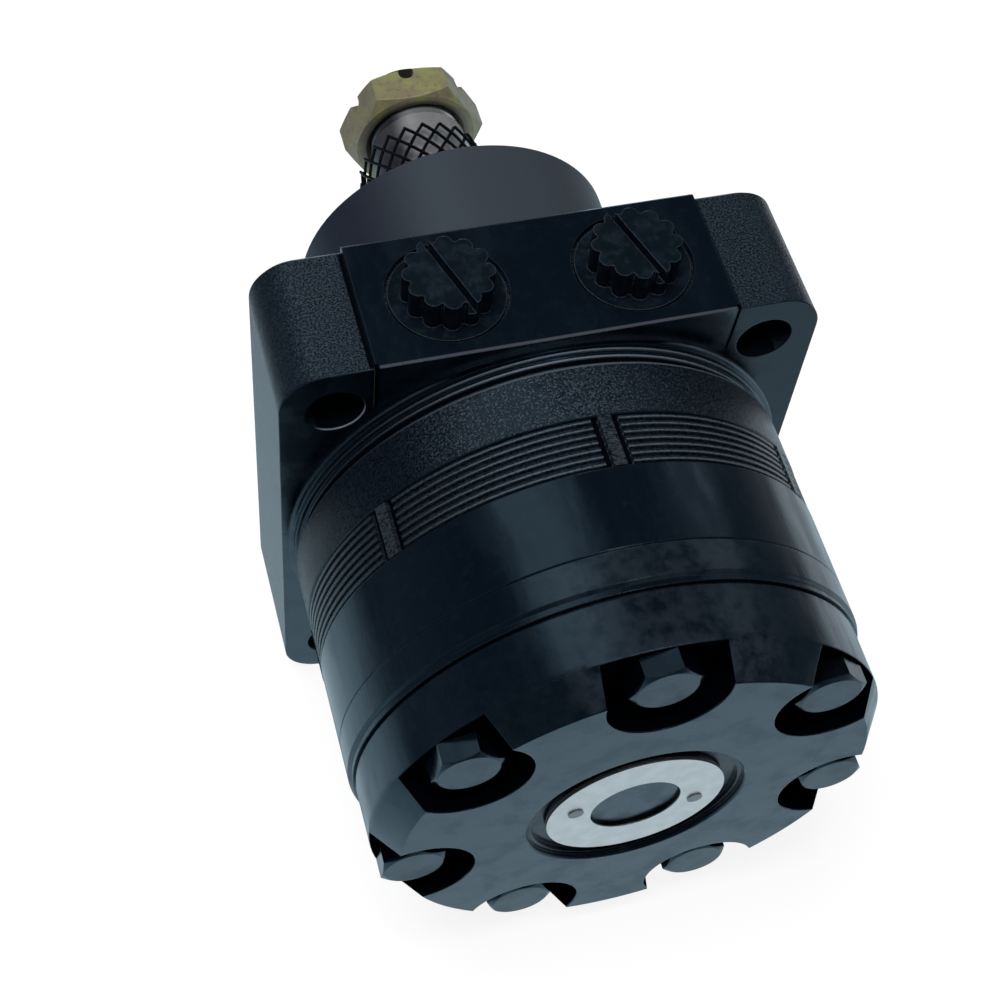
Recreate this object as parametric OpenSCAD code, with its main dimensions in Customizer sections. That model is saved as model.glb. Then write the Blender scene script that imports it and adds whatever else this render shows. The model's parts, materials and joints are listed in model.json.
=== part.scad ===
// Hydraulic wheel motor: square wheel-mount flange with two ports, round bolted stack with a roller
// rotor set inside, and a tapered shaft with a slotted nut.
// The origin is the centre of the flange's front face. +Y runs along the shaft towards its nut and +Z
// points out of the port face. Lengths are in millimetres.

/* [Flange] */
// distance from the round body to each side of the square flange
flange_margin = 2.2; // [1:0.1:10]
// thickness of the flange along the shaft
flange_thickness = 35; // [32:0.5:45]
// rounding of the flange's four long edges
flange_corner = 10.5; // [5:0.5:14]
// bevel around the flange's front face
flange_bevel = 1.2; // [0.5:0.1:2]
// distance from the flange's sides to the middle of each mounting hole
mount_inset = 12.7; // [11:0.1:16]
// radius of a mounting hole
mount_hole_radius = 6.75; // [5:0.05:8]

/* [Pilot] */
// radius of the round pilot that enters the wheel's frame
pilot_radius = 41.9; // [35:0.1:50]
// length of the pilot in front of the flange
pilot_length = 46.2; // [40:0.1:60]

/* [Port pad] */
// height of the machined pad above the flange's side
pad_rise = 1.9; // [1:0.1:6]
// half the width of the pad
pad_half_width = 42; // [39:0.5:50]
// distance that the pad reaches behind the flange
pad_overhang = 1.3; // [0.5:0.1:3]
// distance of each port from the middle
port_offset = 21.8; // [18:0.1:28]
// distance of the ports behind the flange's front face
port_setback = 18.5; // [14:0.1:22]
// radius of the spotface around each port
spotface_radius = 14.2; // [12:0.1:18]
// depth of the spotface
spotface_depth = 2; // [0.5:0.1:3]
// radius of the port's threaded bore
port_radius = 10.2; // [8:0.1:13]
// depth of the port's threaded bore below the pad
port_depth = 17; // [12:0.5:22]

/* [Body stack] */
// distance from the bolt circle to the rim of the round body
bolt_to_rim = 9.3; // [8:0.1:12]
// distance from the flange's front face to the end of the housing
housing_back = 55.4; // [45:0.1:70]
// thickness of the laminated manifold
manifold_thickness = 13.4; // [8:0.1:20]
// number of plates in the laminated manifold
lamination_count = 7; // [3:1:10]
// thickness of the stator ring
stator_thickness = 20.3; // [6:0.1:50]
// thickness of the end plate
end_plate_thickness = 8.5; // [5:0.1:14]
// thickness of the balance plate
balance_plate_thickness = 1.4; // [1:0.1:3]
// thickness of the end cover
cover_thickness = 21.7; // [15:0.1:30]

/* [End cover] */
// distance that the cover's side lies inside the body's rim
cover_inset = 1.2; // [0.5:0.1:4]
// width of the bevel around the cover's face
cover_bevel = 5.4; // [3:0.1:7]
// radius of a bolt pocket
pocket_radius = 13.8; // [9:0.1:16]
// depth of the bolt pockets
pocket_depth = 7.4; // [4:0.1:12]
// radius of the round recess around the ring plate
recess_radius = 25.6; // [20:0.1:32]
// depth of that recess
recess_depth = 2.4; // [1:0.1:4]
// outer radius of the ring plate
plate_radius = 20.95; // [15:0.05:25]
// inner radius of the ring plate
plate_hole_radius = 10.65; // [5:0.05:14]

/* [Cover bolts] */
// distance from the rollers' circle to the bolt circle
roller_to_bolt = 16.5; // [15:0.1:20]
// radius of a bolt's shank
bolt_radius = 4.75; // [3:0.05:6]
// width of a bolt's head across flats
bolt_head_width = 14.3; // [10:0.1:19]
// height of a bolt's head
bolt_head_height = 5.4; // [4:0.1:8]

/* [Rotor set] */
// number of rotor lobes; the stator holds one roller more
lobe_count = 6; // [6:1:6]
// distance of the rotor's centre from the stator's
eccentricity = 3; // [2:0.1:3.5]
// radius of the circle through the rollers' centres
roller_circle_radius = 35.5; // [33:0.1:38]
// radius of a roller
roller_radius = 7; // [5:0.1:8]
// gap between the rotor and the rollers
running_gap = 0.05; // [0.02:0.01:0.1]

/* [Shaft] */
// radius of the shaft in the bearings and seals
journal_radius = 17.5; // [14:0.1:20]
// radius of the taper's large end
taper_radius = 15.875; // [12:0.005:18]
// length of the taper, which narrows by one in eight on the diameter
taper_length = 38.1; // [30:0.1:50]
// radius of the thread at the shaft's end
thread_radius = 12.7; // [10:0.1:15]
// distance from the pilot's end to the taper's large end
taper_offset = 2.5; // [1:0.1:10]
// length of thread that shows beyond the nut
thread_end = 4.5; // [1:0.1:12]
// radius of the shaft's splined head
head_radius = 27; // [24:0.1:30]
// number of spline teeth
spline_count = 12; // [8:1:16]
// outer radius of the internal splines
spline_radius = 13.2; // [11:0.1:15]

/* [Shaft nut] */
// width of the nut across flats
nut_width = 34.6; // [30:0.1:40]
// distance from the taper's small end to the nut
nut_offset = 2; // [1:0.1:8]
// height of the nut
nut_height = 12.2; // [8:0.1:22]
// width of the cotter slots
nut_slot_width = 4.2; // [3:0.1:6]
// depth of the cotter slots
nut_slot_depth = 4.8; // [3:0.1:8]
// turn of the nut about the shaft, in degrees
nut_turn = -4; // [-30:1:30]

/* [Port plugs] */
// radius of a plug's scalloped head
plug_head_radius = 10.5; // [8:0.1:12]
// height of a plug's head above the pad
plug_head_rise = 6.9; // [3:0.1:10]
// number of scallops around the head
scallop_count = 12; // [8:1:18]
// turn of the screwdriver slot from the X axis, in degrees
plug_slot_turn = -72; // [-90:1:90]

/* [Net sleeve] */
// length of the net sleeve
net_length = 31.6; // [28:0.1:34]
// gap between the sleeve and the taper's large end
net_gap = 0.18; // [0.1:0.01:0.5]
// thickness of the net's strands
net_strand = 0.7; // [0.4:0.1:1.2]
// sideways shift of the sleeve, which passes over the key
net_shift = 1.4; // [1.4:0.05:2]

/* [Hidden] */
$fn = 72;
side_gap = 0.05;
// the rotor set's size carries the bolts, the body, the cover and the flange
roller_count = lobe_count + 1;
roller_turn = 180 / roller_count;
bolt_count = roller_count;
bolt_step = 360 / bolt_count;
bolt_circle_radius = roller_circle_radius + roller_to_bolt;
bolt_hole_radius = bolt_radius + 0.15;
bolt_thread_radius = bolt_radius + side_gap;
body_radius = bolt_circle_radius + bolt_to_rim;
cover_radius = body_radius - cover_inset;
cover_face_radius = cover_radius - cover_bevel;
flange_width = 2 * (body_radius + flange_margin);
mount_spacing = flange_width - 2 * mount_inset;
pad_height = flange_width / 2 + pad_rise;
// joints of the stack, as distances along Y
manifold_front = -housing_back;
stator_front = manifold_front - manifold_thickness;
end_plate_front = stator_front - stator_thickness;
balance_front = end_plate_front - end_plate_thickness;
cover_front = balance_front - balance_plate_thickness;
cover_back = cover_front - cover_thickness;
pocket_floor = cover_back + pocket_depth;
plate_thickness = 1;
plate_back = cover_back + 0.6;
plate_front = plate_back + plate_thickness;
recess_floor = cover_back + recess_depth;
recess_step = 1.3;
bolt_tip = manifold_front + 12.4;
// turn of each bolt's head
head_turns = [-12, -3, 25, 3, -20, 16, -24];
// seals at the pilot's mouth and the bearing behind them
dust_seal_front = pilot_length - 1.2;
dust_seal_back = dust_seal_front - 3.8;
seal_front = dust_seal_back - 1.6;
seal_bore_back = seal_front - 7.4;
bearing_back = seal_bore_back - 24.2;
front_race_radius = journal_radius + 4;
bearing_bore_radius = front_race_radius + 1.5;
seal_bore_radius = bearing_bore_radius + 1;
middle_bore_radius = journal_radius + 2.5;
needle_radius = (front_race_radius - journal_radius) / 2 - 0.02;
front_needle_count = 18;
front_needle_circle = (journal_radius + front_race_radius) / 2;
// chamber around the shaft's head, with its thrust bearing and its needle bearing
rear_race_radius = head_radius + 4.05;
chamber_radius = rear_race_radius + 1.95;
chamber_front = -14;
thrust_washer = 1;
thrust_needle = 3;
head_front = chamber_front - 2 * thrust_washer - thrust_needle;
head_back = manifold_front + 0.4;
rear_bearing_back = head_back + 7;
rear_needle_count = 26;
rear_needle_circle = (head_radius + rear_race_radius) / 2;
cage_rim = 1.5;
cage_half_wall = 0.8;
needle_play = 0.12;
needle_end_play = 0.1;
thrust_radius = chamber_radius - 1.6;
thrust_needle_count = 20;
thrust_needle_radius = thrust_needle / 2 - side_gap;
thrust_needle_start = journal_radius + 3;
thrust_needle_length = thrust_radius - 1.4 - thrust_needle_start;
thrust_middle = chamber_front - thrust_washer - thrust_needle / 2;
// body seals in face grooves inside the bolt circle
seal_inner = bolt_circle_radius - 7.55;
seal_outer = seal_inner + 1.7;
seal_depth = 1.3;
// passages between the ports and the manifold
passage_radius = 3.6;
passage_circle = seal_inner - passage_radius - 0.45;
passage_height = sqrt(passage_circle * passage_circle - port_offset * port_offset);
passage_angle = atan2(port_offset, passage_height);
feed_radius = 5;
gallery_radii = [roller_circle_radius - 4.5, roller_circle_radius - 13.5];
gallery_depths = [8.5, 4.5];
window_radii = [2.5, 1.6];
// notch with a tab at the manifold's rim, beside each bolt
notch_width = 6.4;
notch_depth = 1.2;
tab_width = 3;
tab_turn = 3.9;
// relief chamber and holes behind the rotor set
relief_radius = journal_radius + 12.5;
relief_depth = 6;
relief_hole_radius = 7;
// shaft, taper, nut and thread
taper_start = pilot_length + taper_offset;
taper_end = taper_start + taper_length;
taper_tip_radius = taper_radius - taper_length / 16;
nut_start = taper_end + nut_offset;
nut_end = nut_start + nut_height;
shaft_reach = nut_end + thread_end;
// splines of the shaft's head, the rotor and the drive link
spline_root = spline_radius - 2.1;
spline_space = 3.4;
spline_relief = spline_radius + 0.8;
link_radius = spline_root - 0.6;
link_waist = link_radius - 1.9;
link_tooth = 2.7;
link_tooth_tip = spline_radius - 0.6;
link_half_spline = 5;
link_nose = 0.9;
spacer_front = end_plate_front + 3.5;
link_front = head_front - 5;
link_back = spacer_front + link_half_spline + link_nose + 0.7;
link_tilt = atan2(eccentricity, link_front - link_back);
// key in the taper
key_width = 7.94;
key_top = taper_radius + 1.725;
key_middle = taper_start + 13.3;
key_disc_radius = 12.7;
key_sink = 4;
// net sleeve, widest at the taper's large end
net_back = taper_start - 0.8;
net_front = net_back + net_length;
net_bend = key_middle + key_disc_radius;
net_radius_back = taper_radius + net_shift + net_gap;
net_radius_key = key_top - 0.8;
net_radius_front = net_radius_key - 0.65;
// ring plate's pins
pin_circle = (plate_radius + plate_hole_radius) / 2 - 1;
pin_turn = -79;
pin_radius = 1.2;
// plug and its seat
spotface_floor = pad_height - spotface_depth;
plug_top = spotface_depth + plug_head_rise;
plug_flange_radius = spotface_radius - 0.8;
plug_flange_height = 1.5;
plug_stem = port_depth - spotface_depth - 3;
plug_stem_wall = 2.35;
plug_slot_width = 1.6;
plug_slot_depth = 3.5;
plug_seal_section = 0.75;
scallop_radius = 2;
scallop_rise = 1.5;
scallop_turn = 5;

paint = [0.06, 0.07, 0.08];
steel = [0.55, 0.56, 0.58];
bright_steel = [0.72, 0.74, 0.75];
zinc = [0.62, 0.6, 0.42];
black_plastic = [0.04, 0.05, 0.06];
black_rubber = [0.05, 0.05, 0.05];

// lays a shape drawn along +Z onto the shaft's line, starting at y
module on_axis(y = 0) translate([0, y, 0]) rotate([-90, 0, 0]) children();

// round bar on the shaft's line between two distances
module bar_y(radius, y_from, y_to)
    on_axis(min(y_from, y_to)) cylinder(r = radius, h = abs(y_to - y_from));

// ring on the shaft's line between two distances
module ring_y(outer, inner, y_from, y_to) difference() {
    bar_y(outer, y_from, y_to);
    bar_y(inner, min(y_from, y_to) - 1, max(y_from, y_to) + 1);
}

// solid of revolution about the shaft's line; points are [radius, y]
module turned(points) on_axis() rotate_extrude() polygon(points);

// repeats a shape around the shaft's line, turning from +Z towards +X
module around(count, radius, turn = 0)
    for (i = [0 : count - 1]) rotate([0, turn + i * 360 / count, 0]) translate([0, 0, radius]) children();

// slab of the flange with its front edges bevelled, drawn across X between its rounded corners
module flange_slab() {
    half = flange_width / 2;
    span = flange_width - 2 * flange_corner;
    translate([-span / 2, 0, 0]) rotate([90, 0, 90]) linear_extrude(span)
        polygon([[-flange_thickness, -half], [-flange_bevel, -half], [0, flange_bevel - half],
            [0, half - flange_bevel], [-flange_bevel, half], [-flange_thickness, half]]);
}

// square flange with rounded long edges and a bevelled front
module flange_block() {
    for (turn = [0, 90]) rotate([0, turn, 0]) flange_slab();
    for (x = [-1, 1], z = [-1, 1])
        translate([x, 0, z] * (flange_width / 2 - flange_corner))
            turned([[0, -flange_thickness], [flange_corner, -flange_thickness], [flange_corner, -flange_bevel],
                [flange_corner - flange_bevel, 0], [0, 0]]);
}

// machined pad of the ports, whose cast back leans in towards the flange's rear face
module port_pad() {
    root = pad_height - 20;
    translate([-pad_half_width, 0, 0]) rotate([90, 0, 90]) linear_extrude(2 * pad_half_width)
        polygon([[0, root], [0, pad_height - flange_bevel], [-flange_bevel, pad_height],
            [-flange_thickness - pad_overhang, pad_height], [0.3 - flange_thickness, root]]);
}

// holes for the cover bolts through one plate of the stack
module bolt_holes(y_from, y_to, radius = bolt_hole_radius)
    around(bolt_count, bolt_circle_radius) bar_y(radius, y_from, y_to, $fn = 32);

// face groove for a body seal
module seal_groove(y_from, y_to) ring_y(seal_outer, seal_inner, y_from, y_to);

// internal spline cut between two distances
module spline_cut(y_from, y_to) {
    bar_y(spline_root, y_from, y_to);
    intersection() {
        bar_y(spline_radius, y_from, y_to);
        around(spline_count, 0)
            translate([-spline_space / 2, min(y_from, y_to), 0])
                cube([spline_space, abs(y_to - y_from), spline_radius + 1]);
    }
}

// hexagon along the shaft's line with its corners bevelled at both ends
module bevelled_hex(width, y_from, y_to, bevel_from, bevel_to) {
    corner = width / sqrt(3);
    slope = tan(30);
    intersection() {
        on_axis(y_from) cylinder(r = corner, h = y_to - y_from, $fn = 6);
        turned([[0, y_from], [bevel_from, y_from], [corner + 1, y_from + (corner + 1 - bevel_from) * slope],
            [corner + 1, y_to - (corner + 1 - bevel_to) * slope], [bevel_to, y_to], [0, y_to]]);
    }
}

// cast housing: pilot, flange, pad, stepped root and neck, with bores, ports and passages
module housing() color(paint) difference() {
    union() {
        flange_block();
        port_pad();
        housing_turned();
    }
    housing_bore();
    for (x = [-1, 1], z = [-1, 1])
        translate([x, 0, z] * mount_spacing / 2) bar_y(mount_hole_radius, -flange_thickness - 1, 1, $fn = 48);
    bolt_holes(manifold_front - 1, bolt_tip + 1, bolt_thread_radius);
    seal_groove(manifold_front - 1, manifold_front + seal_depth);
    for (side = [-1, 1]) port_cut(side * port_offset);
}

// pilot, the three small steps behind the flange, the undercut and the neck
module housing_turned() turned([[0, pilot_length], [pilot_radius - 1, pilot_length],
    [pilot_radius, pilot_length - 1], [pilot_radius, -2], [body_radius + 0.8, -2],
    [body_radius + 0.8, -flange_thickness - 0.5], [body_radius - 0.4, -flange_thickness - 0.7],
    [body_radius - 0.4, -flange_thickness - 2.2], [body_radius - 1.4, -flange_thickness - 2.4],
    [body_radius - 1.4, -flange_thickness - 3.5], [body_radius - 3.2, -flange_thickness - 3.9],
    [body_radius - 3.2, -flange_thickness - 5.4], [body_radius - 0.6, -flange_thickness - 5.8],
    [body_radius, -flange_thickness - 6.4], [body_radius, 0.3 - housing_back],
    [body_radius - 0.3, -housing_back], [0, -housing_back]]);

// stepped bore from the pilot's mouth to the manifold
module housing_bore() turned([[0, pilot_length + 1], [seal_bore_radius + 0.6, pilot_length + 1],
    [seal_bore_radius + 0.6, pilot_length], [seal_bore_radius, pilot_length - 0.6],
    [seal_bore_radius, seal_bore_back], [bearing_bore_radius, seal_bore_back],
    [bearing_bore_radius, bearing_back], [middle_bore_radius, bearing_back],
    [middle_bore_radius, chamber_front], [chamber_radius, chamber_front],
    [chamber_radius, -housing_back - 1], [0, -housing_back - 1]]);

// spotface, seal seat, threaded bore and passage of one port
module port_cut(x) {
    port_floor = pad_height - port_depth;
    translate([x, -port_setback, 0]) {
        translate([0, 0, spotface_floor]) cylinder(r = spotface_radius, h = spotface_depth + 5);
        translate([0, 0, spotface_floor - 2 * plug_seal_section])
            cylinder(r = port_radius + 2 * plug_seal_section + side_gap, h = 2 * plug_seal_section + 1);
        translate([0, 0, port_floor]) cylinder(r = port_radius, h = port_depth);
        translate([0, 0, passage_height]) cylinder(r = feed_radius, h = port_floor - passage_height + 1, $fn = 32);
    }
    translate([x, 0, passage_height]) bar_y(passage_radius, -housing_back - 1, -port_setback, $fn = 32);
}

// wiper at the pilot's mouth, with a lip that reaches the shaft
module dust_seal() color(black_rubber) turned([[seal_bore_radius, dust_seal_back],
    [journal_radius + 3, dust_seal_back], [journal_radius + 0.7, dust_seal_back + 1.4],
    [journal_radius + side_gap, dust_seal_front - 0.1], [journal_radius + 0.5, dust_seal_front + 0.4],
    [journal_radius + 2.9, dust_seal_front - 0.8], [journal_radius + 3.3, dust_seal_front],
    [seal_bore_radius, dust_seal_front]]);

// flat washer that backs the shaft seal
module seal_washer() color(steel) ring_y(seal_bore_radius, journal_radius + 0.4, seal_front, dust_seal_back);

// pressure seal with a lip towards the oil
module shaft_seal() color(black_rubber) turned([[seal_bore_radius, seal_front],
    [journal_radius + 0.4, seal_front], [journal_radius + side_gap, seal_front - 1],
    [journal_radius + side_gap, seal_bore_back + 2], [journal_radius + 0.8, seal_bore_back + 0.4],
    [journal_radius + 2.1, seal_bore_back + 3.2], [seal_bore_radius - 2.4, seal_bore_back + 3.2],
    [seal_bore_radius - 1.6, seal_bore_back], [seal_bore_radius, seal_bore_back]]);

// row of needles around the shaft's line, inside a cage of the given length
module needle_row(count, radius, y_from, y_to)
    around(count, radius)
        bar_y(needle_radius, y_from + cage_rim + needle_end_play, y_to - cage_rim - needle_end_play, $fn = 20);

// cage with one window for each needle
module needle_cage(count, radius, y_from, y_to) difference() {
    ring_y(radius + cage_half_wall, radius - cage_half_wall, y_from, y_to);
    around(count, radius)
        bar_y(needle_radius + needle_play, y_from + cage_rim, y_to - cage_rim, $fn = 20);
}

// pressed shell of the bearing in the pilot
module front_bearing_shell() color(steel)
    ring_y(bearing_bore_radius, front_race_radius, bearing_back, seal_bore_back);

// needles of the bearing in the pilot
module front_needles() color(bright_steel)
    needle_row(front_needle_count, front_needle_circle, bearing_back + 1, seal_bore_back - 1);

// cage of the bearing in the pilot
module front_cage() color(steel)
    needle_cage(front_needle_count, front_needle_circle, bearing_back + 1, seal_bore_back - 1);

// pressed shell of the bearing around the shaft's head
module rear_bearing_shell() color(steel)
    ring_y(chamber_radius, rear_race_radius, rear_bearing_back, head_front - 1);

// needles of the bearing around the shaft's head
module rear_needles() color(bright_steel)
    needle_row(rear_needle_count, rear_needle_circle, rear_bearing_back + 1, head_front - 2);

// cage of the bearing around the shaft's head
module rear_cage() color(steel)
    needle_cage(rear_needle_count, rear_needle_circle, rear_bearing_back + 1, head_front - 2);

// thrust washer against the housing's shoulder
module thrust_washer_front() color(bright_steel)
    ring_y(chamber_radius - 1, journal_radius + 0.6, chamber_front - thrust_washer, chamber_front);

// needles of the thrust bearing, lying like spokes between the two washers
module thrust_needles() color(bright_steel) translate([0, thrust_middle, 0])
    around(thrust_needle_count, thrust_needle_start)
        cylinder(r = thrust_needle_radius, h = thrust_needle_length, $fn = 20);

// flat cage of the thrust bearing
module thrust_cage() color(steel) translate([0, thrust_middle, 0]) difference() {
    ring_y(thrust_radius, journal_radius + 0.9, -0.7, 0.7);
    around(thrust_needle_count, thrust_needle_start - needle_end_play)
        cylinder(r = thrust_needle_radius + needle_play, h = thrust_needle_length + 2 * needle_end_play, $fn = 20);
}

// thrust washer against the shaft's head
module thrust_washer_rear() color(bright_steel)
    ring_y(thrust_radius, journal_radius + side_gap, head_front, head_front + thrust_washer);

// output shaft: thread, taper, journal and splined head
module shaft() color(steel) difference() {
    turned([[0, shaft_reach], [thread_radius - 1, shaft_reach], [thread_radius, shaft_reach - 1],
        [thread_radius, taper_end + 2.2], [thread_radius - 1.1, taper_end + 1.6],
        [thread_radius - 1.1, taper_end + 0.6], [taper_tip_radius - 0.4, taper_end],
        [taper_tip_radius, taper_end - 0.4],
        [taper_radius, taper_start], [taper_radius, taper_start - 1], [journal_radius, taper_start - 2.6],
        [journal_radius, head_front], [head_radius - 0.6, head_front], [head_radius, head_front - 0.6],
        [head_radius, head_back + 0.6], [head_radius - 0.6, head_back], [0, head_back]]);
    bar_y(spline_radius + 2, head_back - 1, link_front - 7);
    spline_cut(link_front - 8, link_front + 6.5);
    bar_y(spline_root - 1, link_front, link_front + 7.2);
    key_disc();
    cotter_hole();
}

// round-bottomed key body
module key_disc() translate([-key_top - key_sink, key_middle, -key_width / 2])
    cylinder(r = key_disc_radius, h = key_width);

// cross hole for a cotter through the thread, in line with two of the nut's slots
module cotter_hole() rotate([0, nut_turn, 0])
    translate([0, nut_end - nut_slot_depth / 2, -20]) cylinder(r = 2, h = 40, $fn = 32);

// round-bottomed key in the taper
module shaft_key() color(steel) intersection() {
    key_disc();
    translate([-key_top, key_middle - 20, -key_width]) cube([key_top, 40, 2 * key_width]);
}

// slotted hexagon nut on the shaft's thread
module shaft_nut() color(zinc) rotate([0, nut_turn, 0]) difference() {
    bevelled_hex(nut_width, nut_start, nut_end, nut_width / 2 - 0.4, nut_width / 2 - 2.4);
    bar_y(thread_radius + 0.03, nut_start - 1, nut_end + 1);
    turned([[0, nut_start - 1], [thread_radius + 2.4, nut_start - 1], [thread_radius + 1.6, nut_start],
        [thread_radius + 0.03, nut_start + 1.8], [0, nut_start + 1.8]]);
    for (turn = [0, 60, 120]) rotate([0, turn, 0]) nut_slot();
}

// cotter slot right across the nut, with a round bottom
module nut_slot() {
    round_radius = nut_slot_width / 2;
    slot_bottom = nut_end - nut_slot_depth;
    translate([0, slot_bottom + round_radius, -nut_width]) cylinder(r = round_radius, h = 2 * nut_width, $fn = 32);
    translate([-round_radius, slot_bottom + round_radius, -nut_width])
        cube([nut_slot_width, nut_slot_depth, 2 * nut_width]);
}

// thin sleeve over the taper and the key, shifted towards the key
module net_sleeve() color(black_plastic) translate([-net_shift, 0, 0])
    turned([[net_radius_back, net_back], [net_radius_back + net_strand, net_back],
        [net_radius_key + net_strand, net_bend], [net_radius_front + net_strand, net_front],
        [net_radius_front, net_front], [net_radius_key, net_bend]]);

// splined link between the shaft and the rotor, tilted by the rotor's eccentricity
module drive_link() color(bright_steel) translate([0, link_front, 0]) rotate([link_tilt, 0, 0]) {
    length = (link_front - link_back) / cos(link_tilt);
    for (end = [0, 1]) translate([0, -end * length, 0]) rotate([180 * end, 0, 0]) {
        link_end(length / 2);
        link_teeth();
    }
}

// one half of the link: nose, splined barrel and waist
module link_end(reach) turned([[0, link_half_spline + link_nose], [link_radius - 3.5, link_half_spline + link_nose],
    [link_radius - 0.9, link_half_spline], [link_radius, link_half_spline - 0.4],
    [link_radius, -link_half_spline - 0.5], [link_waist, -link_half_spline - 4], [link_waist, -reach], [0, -reach]]);

// crowned teeth of one end of the link
module link_teeth() intersection() {
    around(spline_count, 0)
        translate([-link_tooth / 2, -link_half_spline, 0])
            cube([link_tooth, 2 * link_half_spline, spline_radius]);
    turned([[0, link_half_spline], [link_tooth_tip - 0.5, link_half_spline],
        [link_tooth_tip, link_half_spline / 2], [link_tooth_tip, -link_half_spline / 2],
        [link_tooth_tip - 0.5, -link_half_spline], [0, -link_half_spline]]);
}

// stack of plates joined into one manifold, with a stack of tabs beside each bolt
module manifold() color(paint) difference() {
    union() {
        difference() {
            manifold_turned();
            around(bolt_count, body_radius - notch_depth, tab_turn)
                translate([-notch_width / 2, stator_front - 1, 0])
                    cube([notch_width, manifold_thickness + 2, 5]);
        }
        around(bolt_count, body_radius - 3, tab_turn)
            translate([-tab_width / 2, stator_front, 0]) cube([tab_width, manifold_thickness, 3.1]);
    }
    bar_y(spline_relief, stator_front - 1, manifold_front + 1);
    bolt_holes(stator_front - 1, manifold_front + 1);
    manifold_passages();
}

// edge of the plates: one narrow groove between each two
module manifold_turned() {
    pitch = manifold_thickness / lamination_count;
    bottom = body_radius - 0.9;
    rim = body_radius - 0.15;
    edge = [[bottom, 0], [bottom, 0.25], [rim, 0.45], [rim, pitch - 0.45], [bottom, pitch - 0.25]];
    turned(concat([[0, stator_front]],
        [for (i = [0 : lamination_count - 1], p = edge) p + [0, stator_front + i * pitch]],
        [[bottom, manifold_front], [0, manifold_front]]));
}

// feed holes, two ring galleries and the windows towards the rotor
module manifold_passages() for (i = [0, 1]) {
    side = i * 2 - 1;
    depth = manifold_front - gallery_depths[i];
    gallery = gallery_radii[i];
    translate([side * port_offset, 0, passage_height])
        bar_y(passage_radius, depth - 1.2, manifold_front + 1, $fn = 32);
    ring_y(gallery + 2.6, gallery - 2.4, depth - 1.5, depth + 1.5);
    translate([0, depth, 0]) rotate([0, side * passage_angle, 0])
        translate([0, 0, gallery]) cylinder(r = 1.3, h = passage_circle - gallery, $fn = 24);
    around(bolt_count, gallery) bar_y(window_radii[i], stator_front - 1, depth, $fn = 24);
}

// stator ring with seven roller pockets
module stator_ring() color(paint) difference() {
    turned([[0, end_plate_front], [body_radius - 0.25, end_plate_front],
        [body_radius, end_plate_front + 0.25],
        [body_radius, stator_front - 0.25], [body_radius - 0.25, stator_front], [0, stator_front]]);
    bar_y(roller_circle_radius - 0.6, end_plate_front - 1, stator_front + 1);
    around(roller_count, roller_circle_radius, roller_turn)
        bar_y(roller_radius + 0.04, end_plate_front - 1, stator_front + 1);
    bolt_holes(end_plate_front - 1, stator_front + 1);
    seal_groove(stator_front - seal_depth, stator_front + 1);
    seal_groove(end_plate_front - 1, end_plate_front + seal_depth);
}

// one of the seven rollers
module roller(index) color(bright_steel) rotate([0, roller_turn + index * 360 / roller_count, 0])
    translate([0, 0, roller_circle_radius])
        bar_y(roller_radius, end_plate_front + side_gap, stator_front - side_gap, $fn = 48);

// point of the rotor's outline: the rollers' path seen from the rotor, moved in by a roller's radius
function rotor_point(t) = let (
    ring = lobe_count + 1,
    path = [roller_circle_radius * cos(t) - eccentricity * cos(ring * t),
        roller_circle_radius * sin(t) - eccentricity * sin(ring * t)],
    run = [-roller_circle_radius * sin(t) + ring * eccentricity * sin(ring * t),
        roller_circle_radius * cos(t) - ring * eccentricity * cos(ring * t)])
    path - (roller_radius + running_gap) * [run[1], -run[0]] / norm(run);

// six-lobed rotor with its internal spline, one lobe space resting on the lowest roller
module rotor() color(bright_steel) translate([0, 0, -eccentricity]) difference() {
    on_axis(end_plate_front + side_gap) linear_extrude(stator_thickness - 2 * side_gap)
        rotate(90) polygon([for (i = [0 : 335]) rotor_point(i * 360 / 336)]);
    spline_cut(spacer_front - 1, stator_front + 1);
    bar_y(spline_relief, end_plate_front - 1, spacer_front + 0.1);
    around(lobe_count, roller_circle_radius - 16, 30)
        bar_y(1.8, end_plate_front - 1, stator_front + 1, $fn = 24);
}

// round spacer behind the link's end, carried round in the rotor's counterbore
module link_spacer() color(steel) translate([0, 0, -eccentricity])
    bar_y(spline_relief - side_gap, end_plate_front + side_gap, spacer_front);

// thick plate that closes the rotor's chambers
module end_plate() color(paint) difference() {
    turned([[0, balance_front], [body_radius - 0.8, balance_front], [body_radius, balance_front + 0.7],
        [body_radius, end_plate_front - 0.25], [body_radius - 0.25, end_plate_front], [0, end_plate_front]]);
    bar_y(relief_hole_radius, balance_front - 1, end_plate_front + 1);
    bolt_holes(balance_front - 1, end_plate_front + 1);
}

// thin plate that the oil behind it presses against the end plate
module balance_plate() color(paint) difference() {
    bar_y(body_radius - 0.7, cover_front, balance_front);
    bar_y(relief_hole_radius, cover_front - 1, balance_front + 1);
    bolt_holes(cover_front - 1, balance_front + 1);
}

// end cover with its bevel, seven open pockets and the stepped recess for the ring plate
module end_cover() color(paint) difference() {
    turned([[0, cover_back], [cover_face_radius, cover_back], [cover_radius, pocket_floor + 0.3],
        [cover_radius, cover_front - 0.8], [cover_radius - 0.7, cover_front], [0, cover_front]]);
    around(bolt_count, bolt_circle_radius) {
        bar_y(pocket_radius, pocket_floor, cover_back - 1);
        translate([-pocket_radius, cover_back - 1, 0]) cube([2 * pocket_radius, pocket_depth + 1, 20]);
    }
    bolt_holes(cover_back, cover_front + 1);
    plate_recess();
    bar_y(relief_radius, cover_front - relief_depth, cover_front + 1);
    seal_groove(cover_front - seal_depth, cover_front + 1);
    around(2, pin_circle, pin_turn) bar_y(pin_radius, plate_front, plate_front + 6, $fn = 24);
}

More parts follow.
